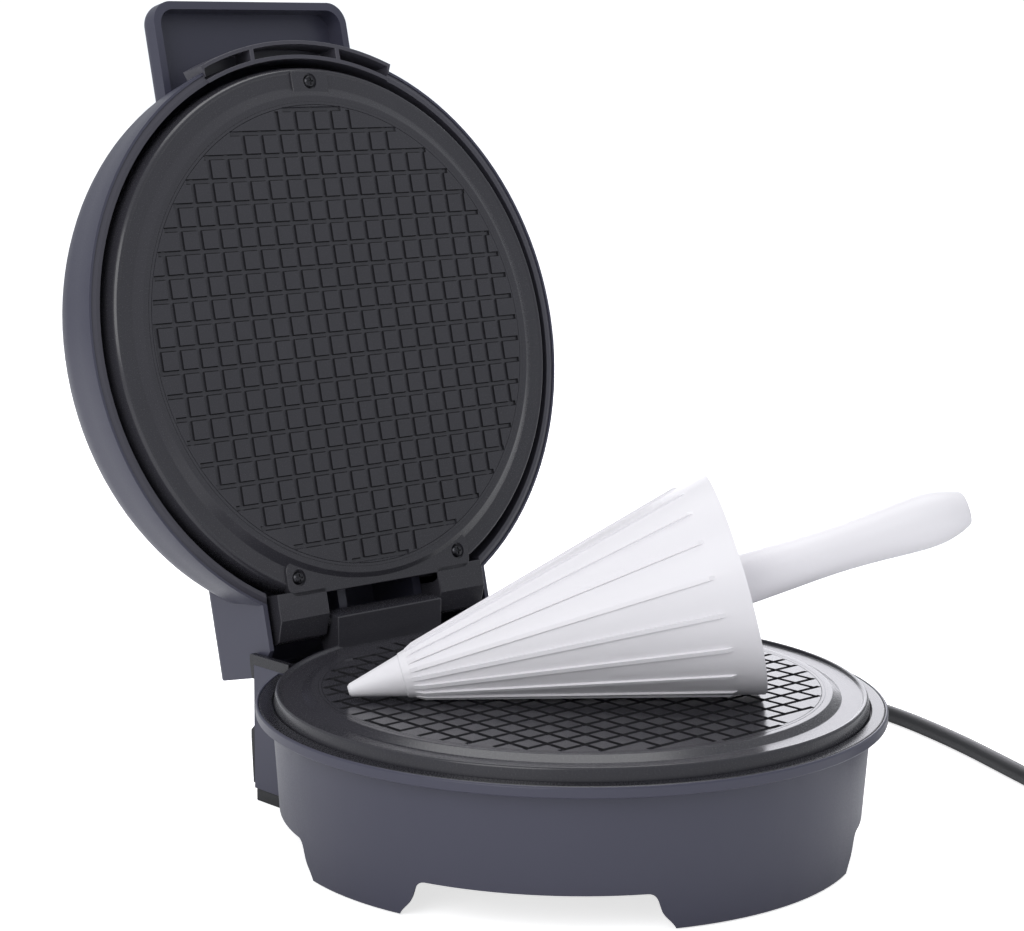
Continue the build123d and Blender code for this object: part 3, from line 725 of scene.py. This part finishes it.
# The coil's middle, its three radii (outer, inner, top) and the heights of its two layers.
COIL_AT = (0.209, -0.121)
COIL_OUTER, COIL_INNER, COIL_TOP = 0.042, 0.035, 0.0385
COIL_FLOOR_Z, COIL_LIFT = 0.0035, 0.0070
# Where the turns start and how far they go round, in degrees, and points in one turn.
COIL_START, COIL_SWEEP, COIL_STEPS = 158.3, 864.1, 15


def coil_points():
    """Control points of the turns: one outside, one inside it, and the last part on top of both."""
    points = []
    count = round(COIL_SWEEP / 360 * COIL_STEPS)
    for k in range(1, count):
        turned = COIL_SWEEP * k / count
        swap = min(max((turned - 300) / 90, 0), 1)
        climb = min(max((turned - 640) / 100, 0), 1)
        radius = COIL_OUTER + (COIL_INNER - COIL_OUTER) * swap + (COIL_TOP - COIL_INNER) * climb
        angle = math.radians(COIL_START + turned)
        points.append((COIL_AT[0] + radius * math.cos(angle), COIL_AT[1] + radius * math.sin(angle),
                       COIL_FLOOR_Z + COIL_LIFT * climb))
    return points


class CONEMAKER_OT_cord(bpy.types.Operator):
    """Mains lead with its sleeve, put-away coil and plug"""
    bl_idname = "conemaker.cord"
    bl_label = "Mains lead"

    def execute(self, context):
        curve = bpy.data.curves.new("mains_lead", "CURVE")
        curve.dimensions = "3D"
        spline = curve.splines.new("NURBS")
        points = [*CORD_ROUTE, *coil_points(), *CORD_TAIL]
        spline.points.add(len(points) - 1)
        for place, spot in zip(points, spline.points):
            spot.co = (*in_frame(place), 1)
        spline.order_u = 3
        spline.use_endpoint_u = True
        spline.resolution_u = 10
        curve.bevel_depth = sizes().cord_radius
        curve.bevel_resolution = 8
        curve.use_fill_caps = True
        curve.materials.append(cord_rubber())
        lead = bpy.data.objects.new("mains_lead", curve)
        context.scene.collection.objects.link(lead)
        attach(lead, "base")
        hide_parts("power_cord", "cord_coil", "cord_tail")
        dressed("strain_relief", cord_rubber(), 0.0004)
        plug = dressed("plug_body", cord_rubber(), 0.0006)
        nickel = finish("nickel_plated_blades", (0.60, 0.57, 0.50), 0.25, grain=3000.0, depth=0.00001,
                        metal=1.0)
        blades = dressed("plug_blades", nickel, 0.0003)
        return {"FINISHED"}


# The camera in metres about the middle of the base, its roll in degrees and its lens in millimetres.
EYE, TARGET = (-0.65398, -0.67953, 0.30083), (-0.01656, 0.0152, 0.1401)
CAMERA_ROLL, CAMERA_LENS, SENSOR_WIDTH = 0.434, 92.503, 36.0
# How much the floor glows to the camera alone, and the world's strength to the object and to the camera.
FLOOR_GLOW, WORLD_LIGHT, WORLD_SEEN = 0.72, 0.52, 1.1


def soft_light(name, place, aim, size, power, tint=(1, 1, 1)):
    """Rectangular lamp turned towards a point and hidden from the camera."""
    data = bpy.data.lights.new(name, "AREA")
    data.shape, data.size, data.size_y = "RECTANGLE", size[0], size[1]
    data.energy, data.color = power, tint
    lamp = bpy.data.objects.new(name, data)
    lamp.location = place
    lamp.rotation_euler = (Vector(aim) - Vector(place)).to_track_quat("-Z", "Y").to_euler()
    lamp.visible_camera = False
    bpy.context.scene.collection.objects.link(lamp)
    return lamp


def pale_floor():
    """Wide floor that looks brighter to the camera than it lights the object."""
    bm = bmesh.new()
    bmesh.ops.create_grid(bm, x_segments=8, y_segments=8, size=6.0)
    mesh = to_mesh(bm, "floor")
    material = finish("pale_floor", colours().floor, 0.7, grain=60.0, depth=0.0001, bump=0.02, mottle=0.01,
                      edge=0.0, specular=0.2, light=(0.9, 0.9, 0.9))
    tree = material.node_tree
    rays = tree.nodes.new("ShaderNodeLightPath")
    glow = node(tree, "ShaderNodeMath", operation="MULTIPLY")
    glow.inputs[1].default_value = FLOOR_GLOW
    bsdf = tree.nodes["Principled BSDF"]
    bsdf.inputs["Emission Color"].default_value = (1, 1, 1, 1)
    link(tree,
         (rays.outputs["Is Camera Ray"], glow.inputs[0]),
         (glow.outputs["Value"], bsdf.inputs["Emission Strength"]))
    mesh.materials.append(material)
    floor = bpy.data.objects.new("floor", mesh)
    bpy.context.scene.collection.objects.link(floor)


def studio_world():
    """Even pale surroundings, brighter to the camera than to the object."""
    world = bpy.data.worlds.new("studio")
    world.use_nodes = True
    tree = world.node_tree
    tree.nodes["Background"].inputs[0].default_value = (0.93, 0.96, 1.0, 1)
    rays = tree.nodes.new("ShaderNodeLightPath")
    bright = map_range(tree, to_min=WORLD_LIGHT, to_max=WORLD_SEEN)
    link(tree,
         (rays.outputs["Is Camera Ray"], bright.inputs["Value"]),
         (bright.outputs["Result"], tree.nodes["Background"].inputs[1]))
    return world


def studio_camera():
    """Camera at EYE that looks at TARGET, turned a little about its own axis."""
    eye, target = Vector(in_frame(EYE)), Vector(in_frame(TARGET))
    ahead = (target - eye).normalized()
    right = ahead.cross(Vector((0, 0, 1))).normalized()
    up = right.cross(ahead)
    roll = math.radians(CAMERA_ROLL)
    right, up = (right * math.cos(roll) + up * math.sin(roll),
                 up * math.cos(roll) - right * math.sin(roll))
    data = bpy.data.cameras.new("camera")
    data.sensor_fit, data.sensor_width, data.lens = "HORIZONTAL", SENSOR_WIDTH, CAMERA_LENS
    data.clip_start, data.clip_end = 0.05, 50
    camera = bpy.data.objects.new("camera", data)
    camera.matrix_world = Matrix.Translation(eye) @ Matrix((right, up, -ahead)).transposed().to_4x4()
    bpy.context.scene.collection.objects.link(camera)
    return camera


class CONEMAKER_OT_stage(bpy.types.Operator):
    """Pale floor, soft studio light and the camera"""
    bl_idname = "conemaker.stage"
    bl_label = "Stage"

    def execute(self, context):
        pale_floor()
        context.scene.world = studio_world()
        soft_light("left_softbox", (-1.6, -0.6, 1.1), (0, 0, 0.12), (1.2, 1.4), 16)
        soft_light("top_softbox", (0.3, 0.5, 1.8), (0, 0, 0.1), (1.4, 1.0), 11)
        fill = soft_light("right_softbox", (1.5, -0.2, 0.9), (0, 0, 0.1), (0.7, 1.2), 5)
        fill.visible_glossy = False
        soft_light("back_softbox", (1.0, 0.92, 0.42), (0, 0, 0.1), (0.9, 0.75), 5.5, (0.95, 0.94, 1.0))
        context.scene.view_settings.view_transform = "Standard"
        context.scene.camera = studio_camera()
        return {"FINISHED"}


class CONEMAKER_PT_pieces(bpy.types.Panel):
    """Lists the pieces of the cone maker"""
    bl_label = "Cone Maker"
    bl_idname = "CONEMAKER_PT_pieces"
    bl_space_type = "VIEW_3D"
    bl_region_type = "UI"
    bl_category = "Cone Maker"

    def draw(self, context):
        for operator in OPERATORS:
            self.layout.operator(operator.bl_idname)
        for group in (sizes(), colours()):
            for name in group.bl_rna.properties.keys():
                if name not in ("rna_type", "name"):
                    self.layout.prop(group, name)


OPERATORS = (
    CONEMAKER_OT_cord, CONEMAKER_OT_base, CONEMAKER_OT_plates, CONEMAKER_OT_lid, CONEMAKER_OT_roller,
    CONEMAKER_OT_heating, CONEMAKER_OT_stage,
)
CLASSES = (ConeMakerSizes, ConeMakerColours, *OPERATORS, CONEMAKER_PT_pieces)


def register():
    for item in CLASSES:
        bpy.utils.register_class(item)
    bpy.types.Scene.cone_maker_sizes = PointerProperty(type=ConeMakerSizes)
    bpy.types.Scene.cone_maker_colours = PointerProperty(type=ConeMakerColours)


def unregister():
    del bpy.types.Scene.cone_maker_colours
    del bpy.types.Scene.cone_maker_sizes
    for item in reversed(CLASSES):
        bpy.utils.unregister_class(item)


def main():
    register()
    for operator in OPERATORS:
        group, name = operator.bl_idname.split(".")
        getattr(getattr(bpy.ops, group), name)()


if __name__ == "__main__":
    main()
